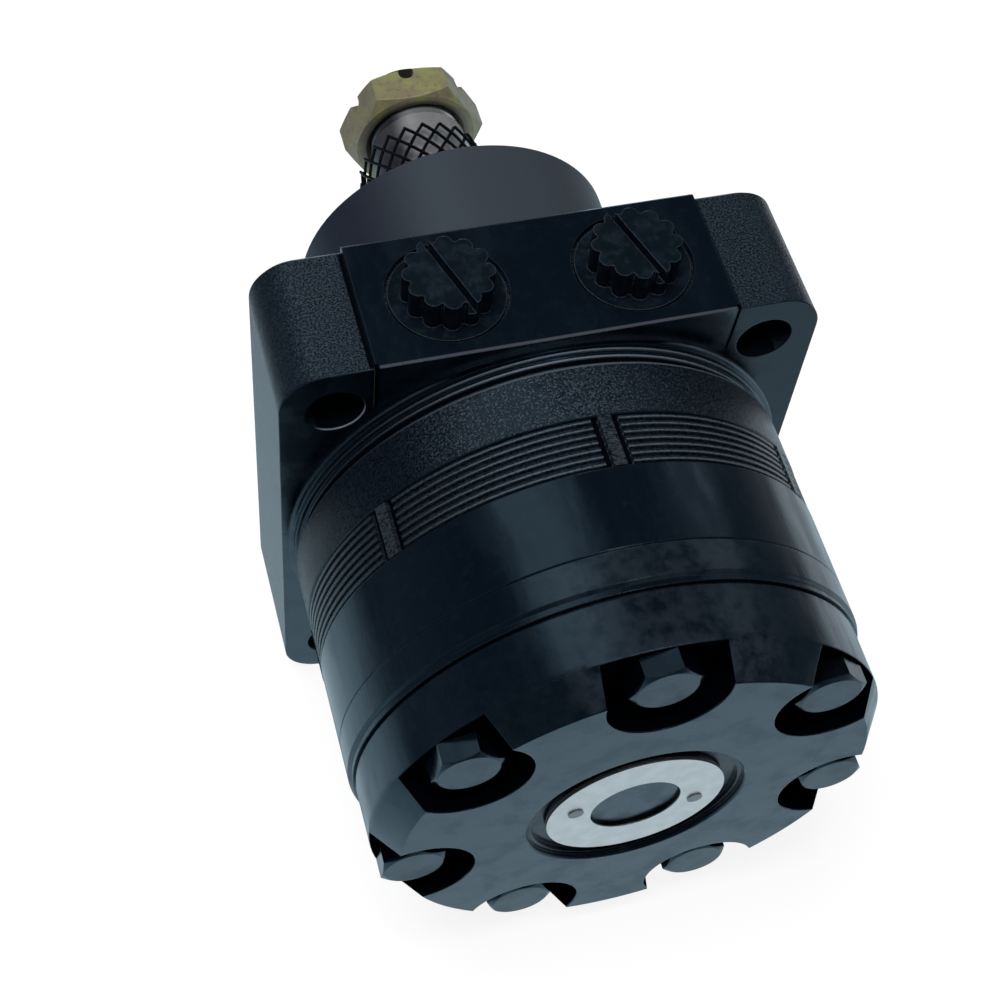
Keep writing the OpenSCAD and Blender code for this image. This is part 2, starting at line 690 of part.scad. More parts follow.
// recess around the raised seat of the ring plate, with a step in its wall
module plate_recess() {
    seat_radius = plate_radius - 0.5;
    turned([[0, cover_back - 1], [0, plate_front], [seat_radius, plate_front], [seat_radius, recess_floor],
        [recess_radius - recess_step, recess_floor], [recess_radius - recess_step, cover_back + recess_depth / 2],
        [recess_radius, cover_back + recess_depth / 2], [recess_radius, cover_back + 0.4],
        [recess_radius + 0.4, cover_back], [recess_radius + 0.4, cover_back - 1]]);
}

// the seven bolts that clamp the stack to the housing
module cover_bolts() color(paint) for (i = [0 : bolt_count - 1])
    rotate([0, i * bolt_step, 0]) translate([0, 0, bolt_circle_radius]) {
        rotate([0, head_turns[i], 0]) bolt_head();
        bar_y(bolt_radius, pocket_floor - bolt_head_height / 2, bolt_tip, $fn = 32);
    }

// hexagon head with its outer corners bevelled
module bolt_head() bevelled_hex(bolt_head_width, pocket_floor - bolt_head_height, pocket_floor,
    bolt_head_width / 2 - 0.35, bolt_head_width / 2 + 1.1);

// bare ring plate on the cover
module ring_plate() color(bright_steel) difference() {
    ring_y(plate_radius, plate_hole_radius, plate_back, plate_front);
    around(2, pin_circle, pin_turn) bar_y(pin_radius + 0.02, plate_back - 1, plate_front + 1, $fn = 24);
}

// two drive pins that hold the ring plate
module plate_pins() color(steel) around(2, pin_circle, pin_turn) {
    bar_y(pin_radius, plate_back, plate_front + 5.5, $fn = 24);
    bar_y(pin_radius + 0.6, plate_back - 0.4, plate_back, $fn = 24);
}

// square-section seal in a face groove
module body_seal(y_from) color(black_rubber) ring_y(seal_outer, seal_inner, y_from, y_from + seal_depth);

// plastic plug: scalloped head with a screwdriver slot, flange and hollow stem
module port_plug(x) color(black_plastic) translate([x, -port_setback, spotface_floor]) difference() {
    union() {
        cylinder(r = plug_flange_radius, h = plug_flange_height);
        cylinder(r = plug_head_radius - scallop_rise, h = plug_top);
        for (i = [0 : scallop_count - 1]) rotate(plug_slot_turn + scallop_turn + i * 360 / scallop_count)
            translate([plug_head_radius - scallop_radius, 0, 0])
                cylinder(r = scallop_radius, h = plug_top, $fn = 24);
        translate([0, 0, -plug_stem]) cylinder(r = port_radius - side_gap, h = plug_stem + 0.5);
    }
    translate([0, 0, -plug_stem - 1]) cylinder(r = port_radius - side_gap - plug_stem_wall, h = plug_stem + 2);
    rotate(plug_slot_turn) translate([-spotface_radius, -plug_slot_width / 2, plug_top - plug_slot_depth])
        cube([2 * spotface_radius, plug_slot_width, plug_slot_depth + 1]);
}

// round-section seal under a plug's flange
module plug_seal(x) color(black_rubber) translate([x, -port_setback, spotface_floor - plug_seal_section])
    rotate_extrude() translate([port_radius + plug_seal_section, 0]) circle(r = plug_seal_section, $fn = 24);

housing();
dust_seal();
seal_washer();
shaft_seal();
front_bearing_shell();
front_needles();
front_cage();
rear_bearing_shell();
rear_needles();
rear_cage();
thrust_washer_front();
thrust_needles();
thrust_cage();
thrust_washer_rear();
shaft();
shaft_key();
shaft_nut();
net_sleeve();
drive_link();
manifold();
stator_ring();
roller(0);  // roller_1
roller(1);  // roller_2
roller(2);  // roller_3
roller(3);  // roller_4
roller(4);  // roller_5
roller(5);  // roller_6
roller(6);  // roller_7
rotor();
link_spacer();
end_plate();
balance_plate();
end_cover();
cover_bolts();
ring_plate();
plate_pins();
body_seal(manifold_front);  // body_seal_1
body_seal(stator_front - seal_depth);  // body_seal_2
body_seal(end_plate_front);  // body_seal_3
body_seal(cover_front - seal_depth);  // body_seal_4
port_plug(-port_offset);  // port_plug_left
port_plug(port_offset);  // port_plug_right
plug_seal(-port_offset);  // plug_seal_left
plug_seal(port_offset);  // plug_seal_right
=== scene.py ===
import json
import math

import bmesh
import bpy
from mathutils import Matrix, Vector


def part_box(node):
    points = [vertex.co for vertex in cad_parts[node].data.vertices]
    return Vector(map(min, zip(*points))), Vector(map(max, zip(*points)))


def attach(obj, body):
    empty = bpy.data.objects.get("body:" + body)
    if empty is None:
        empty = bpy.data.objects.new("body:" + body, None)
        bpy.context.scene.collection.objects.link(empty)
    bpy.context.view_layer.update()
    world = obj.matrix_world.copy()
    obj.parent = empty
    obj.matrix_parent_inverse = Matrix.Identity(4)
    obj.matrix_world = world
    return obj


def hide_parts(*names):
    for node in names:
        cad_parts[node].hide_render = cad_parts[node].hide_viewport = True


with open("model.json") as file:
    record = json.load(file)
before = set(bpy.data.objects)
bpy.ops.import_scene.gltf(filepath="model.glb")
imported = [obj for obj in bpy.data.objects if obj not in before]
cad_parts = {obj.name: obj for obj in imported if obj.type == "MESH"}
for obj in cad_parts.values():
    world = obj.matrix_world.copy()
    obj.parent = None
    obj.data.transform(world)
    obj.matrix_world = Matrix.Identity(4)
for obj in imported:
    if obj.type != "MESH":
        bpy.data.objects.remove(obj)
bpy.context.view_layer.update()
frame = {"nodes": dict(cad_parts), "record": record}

MM = 0.001
BOLT_COUNT = 7
PLATE_COUNT = 7


# places on the motor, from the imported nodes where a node's box gives them

FLOOR_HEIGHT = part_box("housing")[0].z
PAD_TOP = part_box("housing")[1].z
PAD_HALF_WIDTH = 42 * MM
FLANGE_BACK = -35 * MM
CAST_REACH = 54.5 * MM
HOLE_MIDDLE = 50.8 * MM
HOLE_RADIUS = 6.75 * MM
ROOT_LENGTH = 6.3 * MM
ROOT_CREST_RADII = (59.2 * MM, 62.4 * MM)
CHEEK_RADIUS = 62.15 * MM
NECK_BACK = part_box("manifold")[1].y
PLATE_PITCH = (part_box("manifold")[1].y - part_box("manifold")[0].y) / PLATE_COUNT
TAB_TURN = math.radians(3.9)
COVER_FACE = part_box("end_cover")[0].y
RECESS_RADIUS = 25.6 * MM
POCKET_RADIUS = 13.8 * MM
POCKET_DEPTH = 7.4 * MM
BOLT_CIRCLE = 52 * MM
BOLT_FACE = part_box("cover_bolts")[0].y
RING_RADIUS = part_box("ring_plate")[1].x
RING_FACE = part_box("ring_plate")[0].y
RING_HOLE_RADIUS = 10.65 * MM
NUT_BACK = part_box("shaft_nut")[0].y
SHAFT_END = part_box("shaft")[1].y
THREAD = (NUT_BACK + 3 * MM, SHAFT_END - 0.6 * MM)

# each crest of the stepped root that gets a painted highlight: where it starts and ends behind the flange,
# how soft, how strong
ROOT_CRESTS = (
    (0.20 * MM, 0.55 * MM, 0.10 * MM, 1.0),
    (1.85 * MM, 2.25 * MM, 0.10 * MM, 1.0),
    (3.05 * MM, 3.55 * MM, 0.10 * MM, 1.0),
    (5.7 * MM, 6.8 * MM, 0.20 * MM, 0.55),
)


# colours

def rgba(r, g, b):
    return (r, g, b, 1.0)


PAINT_DARK = rgba(0.0018, 0.0045, 0.0090)
PAINT_LIGHT = rgba(0.0060, 0.0110, 0.0180)
PAINT_EDGE_HIGHLIGHT = rgba(0.030, 0.040, 0.050)
PAINT_UNLIT = rgba(0.0008, 0.0014, 0.0030)
PAINT_TINT = rgba(0.45, 0.75, 1.0)
CAST_HOLLOW = rgba(0.004, 0.008, 0.014)
CAST_CREST_LEFT = rgba(0.042, 0.055, 0.070)
CAST_CREST_RIGHT = rgba(0.028, 0.038, 0.050)
CAST_CREST_CORNER = rgba(0.008, 0.011, 0.020)
NECK_CREST_SHADED = rgba(0.005, 0.009, 0.015)
NECK_CREST_LIT = rgba(0.048, 0.061, 0.074)
PILOT_SHADED = rgba(0.018, 0.021, 0.033)
PILOT_PAINTED_LIGHT = rgba(0.046, 0.054, 0.066)
PILOT_CHIP = rgba(0.16, 0.18, 0.20)
ROOT_HIGHLIGHT = rgba(0.15, 0.19, 0.23)
PAD_RIM_HIGHLIGHT = rgba(0.060, 0.062, 0.080)
HOLE_LIP_HIGHLIGHT = rgba(0.30, 0.33, 0.36)
PLATE_EDGE = rgba(0.016, 0.023, 0.031)
PLATE_CREST_HIGHLIGHT = rgba(0.095, 0.118, 0.140)
TAB_HOLLOW = rgba(0.003, 0.005, 0.008)
TAB_CREST = rgba(0.036, 0.045, 0.056)
END_PLATE_STAINS_AND_SHEEN = rgba(0.016, 0.022, 0.029)
COVER_STAINS_AND_SHEEN = rgba(0.026, 0.034, 0.045)
SHAFT_STEEL = (0.74, 0.76, 0.79)
HARDENED_STEEL = (0.60, 0.61, 0.63)
PIN_STEEL = (0.34, 0.35, 0.37)
STEEL_PAINTED_SHADE = rgba(0.14, 0.14, 0.17)
THREAD_PAINTED_SHADE = rgba(0.035, 0.033, 0.028)
ZINC_STRAW = rgba(0.50, 0.50, 0.21)
ZINC_BROWN = rgba(0.42, 0.37, 0.23)
ZINC_GRIME = rgba(0.16, 0.13, 0.09)
ZINC_EDGE = rgba(0.85, 0.80, 0.45)
ZINC_MOUTH_SHADE = rgba(0.060, 0.055, 0.050)
ZINC_FLANK_SHADE = rgba(0.33, 0.29, 0.25)
SATIN_DULL = rgba(0.86, 0.80, 0.78)
SATIN_BRIGHT = rgba(0.95, 0.88, 0.86)
SATIN_SPECK = rgba(0.52, 0.48, 0.47)
SATIN_BORE_SHADE = rgba(0.020, 0.022, 0.028)
PLASTIC_DARK = rgba(0.003, 0.006, 0.010)
PLASTIC_SCUFF = rgba(0.010, 0.016, 0.023)
PLASTIC_EDGE_HIGHLIGHT = rgba(0.095, 0.115, 0.140)
NET_DARK = rgba(0.0015, 0.0020, 0.0030)
NET_DUST = rgba(0.010, 0.011, 0.014)
RUBBER_DARK = rgba(0.010, 0.010, 0.011)
RUBBER_DUST = rgba(0.020, 0.020, 0.021)
WHITE = rgba(1, 1, 1)
FLOOR_SHADOW = rgba(0.22, 0.22, 0.22)
FLOOR_PLAIN = rgba(0.75, 0.75, 0.75)
FLOOR_GLOW_IN_REFLECTIONS_LEFT = rgba(0.50, 0.65, 0.73)
FLOOR_GLOW_IN_REFLECTIONS_RIGHT = rgba(0.80, 0.85, 0.90)
ROOM_TINT = rgba(0.75, 0.9, 1.0)


# camera

SENSOR_WIDTH = 36
FOCAL_LENGTH = 69.14
CAMERA_PLACE = (-0.10713, -0.28113, 0.39526)
CAMERA_FORWARD = Vector((0.20703374, 0.51901202, -0.82931511))
CAMERA_DOWN = Vector((-0.17578838, -0.81415012, -0.55340584))


def add_camera():
    """The photograph's viewpoint, fitted to the flange, the pad, the cover and the stack."""
    right = CAMERA_DOWN.cross(CAMERA_FORWARD)
    data = bpy.data.cameras.new("camera")
    data.sensor_width = SENSOR_WIDTH
    data.lens = FOCAL_LENGTH
    data.clip_start = 0.01
    camera = bpy.data.objects.new("camera", data)
    turned = Matrix((right, -CAMERA_DOWN, -CAMERA_FORWARD)).transposed().to_4x4()
    camera.matrix_world = Matrix.Translation(CAMERA_PLACE) @ turned
    bpy.context.scene.collection.objects.link(camera)
    bpy.context.scene.camera = camera


# shader helpers

def node(tree, kind, settings=None, inputs=None, out=0):
    """A shader node whose inputs are constants or the sockets that feed them."""
    made = tree.nodes.new("ShaderNode" + kind)
    for key, value in (settings or {}).items():
        setattr(made, key, value)
    fill(tree, made, inputs or {})
    return made.outputs[out]


def fill(tree, made, inputs):
    """Sets a node's inputs, or links the ones that are given as sockets."""
    for key, value in inputs.items():
        if isinstance(value, bpy.types.NodeSocket):
            tree.links.new(value, made.inputs[key])
        else:
            made.inputs[key].default_value = value


def math_node(tree, operation, *values):
    return node(tree, "Math", {"operation": operation}, dict(enumerate(values)))


def vector_node(tree, operation, *values, out=0):
    return node(tree, "VectorMath", {"operation": operation}, dict(enumerate(values)), out=out)


def times(tree, first, *others):
    """The product of all the values."""
    for other in others:
        first = math_node(tree, "MULTIPLY", first, other)
    return first


def absolute(tree, value):
    return math_node(tree, "ABSOLUTE", value)


def length_of(tree, a, b):
    """The length of a flat vector with the parts a and b."""
    return math_node(tree, "SQRT", math_node(tree, "ADD", times(tree, a, a), times(tree, b, b)))


def ramp(tree, value, low, high, to_low=0.0, to_high=1.0):
    """value carried smoothly from low..high to to_low..to_high, and held outside."""
    return node(tree, "MapRange", {"interpolation_type": "SMOOTHSTEP"},
                {"Value": value, 1: low, 2: high, 3: to_low, 4: to_high})


def between(tree, value, low, high, soft):
    """One where value lies from low to high, zero outside, with soft edges."""
    rise = ramp(tree, value, low - soft, low + soft)
    fall = ramp(tree, value, high - soft, high + soft, 1.0, 0.0)
    return times(tree, rise, fall)


def mix_colour(tree, factor, a, b):
    return node(tree, "Mix", {"data_type": "RGBA"}, {0: factor, 6: a, 7: b}, out=2)


def mix_value(tree, factor, a, b):
    return node(tree, "Mix", {"data_type": "FLOAT"}, {0: factor, 2: a, 3: b}, out=0)


def mix_normal(tree, factor, a, b):
    return node(tree, "Mix", {"data_type": "VECTOR"}, {0: factor, 4: a, 5: b}, out=1)


def noise(tree, where, size, detail=2.0, roughness=0.5, stretch=(1, 1, 1)):
    """Noise whose blobs are about size metres across, longer along an axis whose stretch is above one."""
    scale = [1 / (size * s) for s in stretch]
    placed = node(tree, "Mapping", None, {"Vector": where, "Scale": scale})
    return node(tree, "TexNoise", None,
                {"Vector": placed, "Scale": 1.0, "Detail": detail, "Roughness": roughness})


def bump(tree, height, distance, strength, normal=None):
    inputs = {"Height": height, "Distance": distance, "Strength": strength}
    if normal is not None:
        inputs["Normal"] = normal
    return node(tree, "Bump", None, inputs)


def rounded_normal(tree, radius, samples=4):
    """The normal as if every edge had that radius."""
    return node(tree, "Bevel", {"samples": samples}, {"Radius": radius})


def edge_mask(tree, radius, low=0.02, high=0.35):
    """One along outer and inner edges, from how far the rounded normal turns from the plain one."""
    plain = node(tree, "NewGeometry", out=1)
    dot = vector_node(tree, "DOT_PRODUCT", rounded_normal(tree, radius), plain, out=1)
    return ramp(tree, math_node(tree, "SUBTRACT", 1.0, dot), low, high)


def separate(tree, vector):
    """The X, Y and Z of a vector."""
    axes = tree.nodes.new("ShaderNodeSeparateXYZ")
    tree.links.new(vector, axes.inputs[0])
    return axes.outputs


def material(name, surface):
    """A material whose principled shader gets its inputs from surface(tree, where, axes)."""
    made = bpy.data.materials.new(name)
    made.use_nodes = True
    tree = made.node_tree
    where = node(tree, "TexCoord", out=3)
    fill(tree, tree.nodes["Principled BSDF"], surface(tree, where, separate(tree, where)))
    return made


# places as masks

def turn_angle(tree, axes, low, high, to_low, to_high):
    """A value carried along with the angle about the shaft, in degrees from straight up towards +X."""
    angle = math_node(tree, "ARCTAN2", axes[0], axes[2])
    return ramp(tree, angle, math.radians(low), math.radians(high), to_low, to_high)


def over_top(tree, axes, left, right, at_left=0.0, at_right=0.0):
    """One over the top of the motor, carried to other values across the left and the right angles."""
    rise = turn_angle(tree, axes, *left, at_left, 1.0)
    return times(tree, rise, turn_angle(tree, axes, *right, 1.0, at_right))


def distance_out(tree, axes):
    """Distance from the shaft's axis."""
    return length_of(tree, axes[0], axes[2])


def sector(tree, axes, turn=0.0):
    """Distance beside, and out along, the nearest of the bolts' rays from the axis, all of them turned."""
    step = 2 * math.pi / BOLT_COUNT
    angle = math_node(tree, "SUBTRACT", math_node(tree, "ARCTAN2", axes[0], axes[2]), turn)
    turns = math_node(tree, "ROUND", math_node(tree, "DIVIDE", angle, step))
    off = math_node(tree, "SUBTRACT", angle, times(tree, turns, step))
    radius = distance_out(tree, axes)
    beside = absolute(tree, times(tree, radius, math_node(tree, "SINE", off)))
    return beside, times(tree, radius, math_node(tree, "COSINE", off))


def cast_masks(tree, axes):
    """The rough cast sides of the flange, and the cast neck, each one there and zero elsewhere."""
    x, y, z = axes
    flange = between(tree, y, FLANGE_BACK + 0.35 * MM, -1.3 * MM, 0.15 * MM)
    reach = math_node(tree, "MAXIMUM", absolute(tree, x), absolute(tree, z))
    outside = ramp(tree, reach, CAST_REACH, CAST_REACH + 0.5 * MM)
    below_pad = ramp(tree, z, PAD_TOP - 1.2 * MM, PAD_TOP - 0.8 * MM, 1.0, 0.0)
    neck = between(tree, y, NECK_BACK + 0.3 * MM, FLANGE_BACK - ROOT_LENGTH, 0.3 * MM)
    return times(tree, flange, outside, below_pad), neck


def root_lines(tree, axes):
    """One on the crests of the steps behind the flange, where highlights are painted, strongest over the
    top.
    """
    lines = 0.0
    for start, end, soft, strength in ROOT_CRESTS:
        line = between(tree, axes[1], FLANGE_BACK - end, FLANGE_BACK - start, soft)
        lines = math_node(tree, "MAXIMUM", lines, times(tree, line, strength))
    crest = between(tree, distance_out(tree, axes), *ROOT_CREST_RADII, 0.1 * MM)
    return times(tree, lines, crest, turn_angle(tree, axes, -50, -5, 0.10, 0.9))


def hole_lip(tree, axes):
    """One on the lower lip of the mounting hole beside the left end of the pad, where a highlight is
    painted.
    """
    x, y, z = axes
    across = math_node(tree, "ADD", x, HOLE_MIDDLE)
    up = math_node(tree, "SUBTRACT", z, HOLE_MIDDLE)
    away = length_of(tree, across, up)
    lip = between(tree, away, HOLE_RADIUS - 0.5 * MM, HOLE_RADIUS + 0.25 * MM, 0.08 * MM)
    face = between(tree, y, FLANGE_BACK - 0.1 * MM, FLANGE_BACK + 0.3 * MM, 0.05 * MM)
    below = math_node(tree, "SUBTRACT", times(tree, across, 0.5), up)
    return times(tree, lip, face, ramp(tree, below, 2.0 * MM, 5.5 * MM))


def pad_groove(tree, axes, sides):
    """One in the shaded line where each end of the pad meets the flange's cast side."""
    ends = between(tree, absolute(tree, axes[0]), PAD_HALF_WIDTH, PAD_HALF_WIDTH + 1.1 * MM, 0.15 * MM)
    return times(tree, sides, ends)


def pad_rim(tree, axes):
    """One along the pad's rear edge, where a highlight is painted."""
    behind = ramp(tree, axes[1], FLANGE_BACK - 0.6 * MM, FLANGE_BACK - 0.4 * MM, 1.0, 0.0)
    return times(tree, behind, ramp(tree, axes[2], PAD_TOP - 0.30 * MM, PAD_TOP - 0.15 * MM))


def pad_cheek(tree, axes):
    """One on the unlit cheeks at the two ends of the pad's rear slope."""
    x, y, z = axes
    behind = ramp(tree, y, FLANGE_BACK - 0.05 * MM, FLANGE_BACK + 0.05 * MM, 1.0, 0.0)
    near = ramp(tree, y, FLANGE_BACK - 1.7 * MM, FLANGE_BACK - 1.5 * MM)
    beyond_neck = ramp(tree, distance_out(tree, axes), CHEEK_RADIUS, CHEEK_RADIUS + 0.2 * MM)
    high = ramp(tree, z, 40 * MM, 45 * MM)
    ends = between(tree, absolute(tree, x), PAD_HALF_WIDTH - 0.8 * MM, PAD_HALF_WIDTH + 0.8 * MM, 0.3 * MM)
    return times(tree, behind, near, beyond_neck, high, ends)


def cover_pockets(tree, axes):
    """One inside the bolts' pockets, and the distance from the middle line of the nearest pocket."""
    beside, out = sector(tree, axes)
    inward = math_node(tree, "MINIMUM", math_node(tree, "SUBTRACT", out, BOLT_CIRCLE), 0.0)
    away = length_of(tree, beside, inward)
    inside = ramp(tree, away, POCKET_RADIUS + 0.05 * MM, POCKET_RADIUS + 0.10 * MM, 1.0, 0.0)
    depth = between(tree, axes[1], COVER_FACE + 0.3 * MM, COVER_FACE + POCKET_DEPTH + 0.2 * MM, 0.15 * MM)
    return times(tree, inside, depth), away


def stains_and_sheen(tree, where, axes, elsewhere):
    """Stains that dull the paint over the top, and less elsewhere; over the top they also carry a painted
    sheen.
    """
    stains = noise(tree, where, 5 * MM, 5.0, 0.65)
    over = over_top(tree, axes, (-24, -12), (18, 34))
    return times(tree, ramp(tree, stains, 0.32, 0.62), mix_value(tree, over, elsewhere, 1.0))


# painted surfaces

def smooth_paint(tree, where, axes):
    """Thin dark paint over turned steel: faint runs along the shaft's line, dust, and soft edges with a
    painted highlight.
    """
    runs = noise(tree, where, 9 * MM, 3.0, 0.6, (1, 3.5, 1))
    peel = noise(tree, where, 1.1 * MM)
    dust = noise(tree, where, 2.4 * MM, 6.0, 0.7)
    normal = bump(tree, runs, 0.10 * MM, 0.7, rounded_normal(tree, 0.35 * MM))
    colour = mix_colour(tree, ramp(tree, dust, 0.5, 0.8), PAINT_DARK, PAINT_LIGHT)
    # painted highlight: every edge is painted lighter
    edges = times(tree, edge_mask(tree, 0.5 * MM), 0.7)
    return {
        "Base Color": mix_colour(tree, edges, colour, PAINT_EDGE_HIGHLIGHT),
        "Roughness": ramp(tree, runs, 0.35, 0.70, 0.15, 0.36),
        "Specular Tint": PAINT_TINT,
        "IOR": 1.8,
        "Normal": bump(tree, peel, 0.02 * MM, 0.6, normal),
    }


def side_colour(tree, axes, crests):
    """The flange's cast sides: the skin's crests are painted lighter on the left and darker on the right as
    painted light and shade, and show less at the pad's left corner.
    """
    # painted light and shade: crests lighter on the left, darker on the right
    right = ramp(tree, axes[0], -20 * MM, 20 * MM)
    corner = times(tree, ramp(tree, axes[0], -59.5 * MM, -54.5 * MM, 0.75, 0.0),
                   ramp(tree, axes[2], 48 * MM, 54 * MM))
    crest = mix_colour(tree, right, CAST_CREST_LEFT, CAST_CREST_RIGHT)
    crest = mix_colour(tree, corner, crest, CAST_CREST_CORNER)
    return mix_colour(tree, crests, CAST_HOLLOW, crest)


def pilot_colour(tree, where, axes):
    """The pilot's dull paint, with painted light over the top and painted shade at the sides, and a few
    chips.
    """
    # painted light: the pilot is painted lighter over the top, where light falls
    painted_light = over_top(tree, axes, (-50, -12), (40, 55))
    plain = mix_colour(tree, painted_light, PILOT_SHADED, PILOT_PAINTED_LIGHT)
    chips = ramp(tree, noise(tree, where, 0.9 * MM, 4.0, 0.7), 0.74, 0.78)
    return mix_colour(tree, chips, plain, PILOT_CHIP)


def housing_paint(tree, where, axes):
    """The same paint, with the cast skin's grain where it was left rough, and a dull pilot; light and shade
    are painted on the pilot, the neck's grain, the flange's sides, the root's crests, the pad's rear edge
    and the hole's lip, and in the pad's grooves and cheeks.
    """
    x, y, _ = axes
    paint = smooth_paint(tree, where, axes)
    sides, neck = cast_masks(tree, axes)
    rough = math_node(tree, "MAXIMUM", sides, neck)
    lumps = noise(tree, where, 6 * MM)
    crests = ramp(tree, noise(tree, where, 0.50 * MM, 4.0, 0.62), 0.40, 0.68)
    pilot = ramp(tree, y, 0.2 * MM, 0.8 * MM)
    groove = pad_groove(tree, axes, sides)
    cheek = pad_cheek(tree, axes)
    # painted light: the neck's grain crests are lit over the top and shaded elsewhere
    lit = over_top(tree, axes, (-42, -20), (0, 22), 0.12, 0.40)
    neck_crest = mix_colour(tree, lit, NECK_CREST_SHADED, NECK_CREST_LIT)

    colour = paint["Base Color"]
    for mask, over in (
            (pilot, pilot_colour(tree, where, axes)),
            (sides, side_colour(tree, axes, crests)),
            (neck, mix_colour(tree, crests, PAINT_DARK, neck_crest)),
            (groove, PAINT_UNLIT),
            (root_lines(tree, axes), ROOT_HIGHLIGHT),
            (pad_rim(tree, axes), PAD_RIM_HIGHLIGHT),
            (hole_lip(tree, axes), HOLE_LIP_HIGHLIGHT),
            (cheek, PAINT_UNLIT)):
        colour = mix_colour(tree, mask, colour, over)
    paint["Base Color"] = colour

    dull = mix_value(tree, pilot, paint["Roughness"], 0.46)
    paint["Roughness"] = mix_value(tree, rough, dull, 0.27)

    rear = between(tree, y, FLANGE_BACK - 0.1 * MM, FLANGE_BACK + 0.2 * MM, 0.05 * MM)
    shaded = times(tree, rear, ramp(tree, x, 28 * MM, 42 * MM))
    shine = 0.5
    for mask, over in (
            (neck, times(tree, lit, mix_value(tree, crests, 0.55, 1.0))),
            (sides, mix_value(tree, crests, 0.25, 0.5)),
            (shaded, 0.22),
            (groove, 0.05),
            (cheek, 0.0)):
        shine = mix_value(tree, mask, shine, over)
    paint["Specular IOR Level"] = shine

    lumpy = bump(tree, times(tree, rough, lumps), 0.4 * MM, 0.6, paint["Normal"])
    paint["Normal"] = bump(tree, times(tree, rough, crests), 0.08 * MM, 0.8, lumpy)
    return paint


def end_plate_paint(tree, where, axes):
    """The same paint, with stains and a painted sheen over the top."""
    paint = smooth_paint(tree, where, axes)
    # stains, and painted light over the top
    stains_and_sheen_mask = stains_and_sheen(tree, where, axes, 0.0)
    paint["Base Color"] = mix_colour(tree, stains_and_sheen_mask, paint["Base Color"], END_PLATE_STAINS_AND_SHEEN)
    return paint


def cover_paint(tree, where, axes):
    """The same paint, with stains and a painted sheen over the top and on the bevel, unlit pockets and a
    dull recess.
    """
    y = axes[1]
    paint = smooth_paint(tree, where, axes)
    pocket, away = cover_pockets(tree, axes)
    behind_face = ramp(tree, y, COVER_FACE + 0.1 * MM, COVER_FACE + 0.4 * MM)
    bevel = ramp(tree, y, COVER_FACE + 6.0 * MM, COVER_FACE + 9.0 * MM, 1.0, 0.5)
    # stains, and painted light over the top and on the bevel
    stains_and_sheen_mask = times(tree, behind_face, bevel, stains_and_sheen(tree, where, axes, 0.12))
    colour = mix_colour(tree, stains_and_sheen_mask, paint["Base Color"], COVER_STAINS_AND_SHEEN)
    paint["Base Color"] = mix_colour(tree, pocket, colour, PAINT_UNLIT)
    paint["Roughness"] = mix_value(tree, pocket, paint["Roughness"], 0.5)

    recess = between(tree, distance_out(tree, axes), RING_RADIUS, RECESS_RADIUS + 0.4 * MM, 0.1 * MM)
    recess = times(tree, ramp(tree, y, COVER_FACE + 0.1 * MM, COVER_FACE + 0.3 * MM), recess)
    paint["Specular IOR Level"] = mix_value(tree, pocket, mix_value(tree, recess, 0.5, 0.2), 0.0)

    shoulder = times(tree, between(tree, y, COVER_FACE + 3.0 * MM, COVER_FACE + 12.0 * MM, 1.0 * MM),
                     ramp(tree, away, POCKET_RADIUS + 1.5 * MM, POCKET_RADIUS + 3.5 * MM))
    soft = rounded_normal(tree, 3.0 * MM, samples=8)
    paint["Normal"] = mix_normal(tree, shoulder, paint["Normal"], soft)
    return paint


def bolt_paint(tree, where, axes):
    """The same paint, left unlit on the flanks of the heads that don't look away from the shaft."""
    paint = smooth_paint(tree, where, axes)
    ray = vector_node(tree, "NORMALIZE", vector_node(tree, "MULTIPLY", where, (1, 0, 1)))
    facing = vector_node(tree, "DOT_PRODUCT", ray, node(tree, "NewGeometry", out=3), out=1)
    flank = times(tree, ramp(tree, facing, 0.78, 0.82, 1.0, 0.0),
                  ramp(tree, axes[1], BOLT_FACE + 0.9 * MM, BOLT_FACE + 1.2 * MM))
    paint["Base Color"] = mix_colour(tree, flank, paint["Base Color"], PAINT_UNLIT)
    paint["Specular IOR Level"] = mix_value(tree, flank, 0.42, 0.10)
    return paint


def plates_paint(tree, where, axes):
    """Paint over the sheared edges of the stacked plates: dull and uneven, with a painted highlight along
    each crest and painted shade in the slots.
    """
    paint = smooth_paint(tree, where, axes)
    shear = noise(tree, where, 0.8 * MM, 4.0, 0.65, (1, 0.5, 1))
    along = math_node(tree, "DIVIDE", math_node(tree, "SUBTRACT", axes[1], NECK_BACK), PLATE_PITCH)
    crest = between(tree, math_node(tree, "FRACT", along), 0.36, 0.54, 0.08)
    # painted highlight along each plate's crest, fading towards the left
    painted_light = times(tree, crest, turn_angle(tree, axes, -50, -14, 0.12, 1.0),
                   ramp(tree, shear, 0.25, 0.60, 0.35, 1.0))
    beside, _ = sector(tree, axes, TAB_TURN)
    slot = between(tree, beside, 1.6 * MM, 3.1 * MM, 0.1 * MM)
    tab = ramp(tree, beside, 1.4 * MM, 1.6 * MM, 1.0, 0.0)

    edge = mix_colour(tree, ramp(tree, shear, 0.35, 0.65), PAINT_DARK, PLATE_EDGE)
    colour = mix_colour(tree, painted_light, edge, PLATE_CREST_HIGHLIGHT)
    on_tab = mix_colour(tree, ramp(tree, shear, 0.38, 0.62), TAB_HOLLOW, TAB_CREST)
    colour = mix_colour(tree, tab, colour, on_tab)
    paint["Base Color"] = mix_colour(tree, slot, colour, PAINT_UNLIT)
    paint["Specular IOR Level"] = mix_value(tree, slot, mix_value(tree, crest, 0.20, 0.65), 0.05)
    paint["Roughness"] = ramp(tree, shear, 0.3, 0.7, 0.24, 0.40)
    paint["Normal"] = bump(tree, shear, 0.16 * MM, 0.9, paint["Normal"])
    return paint


# bare metal

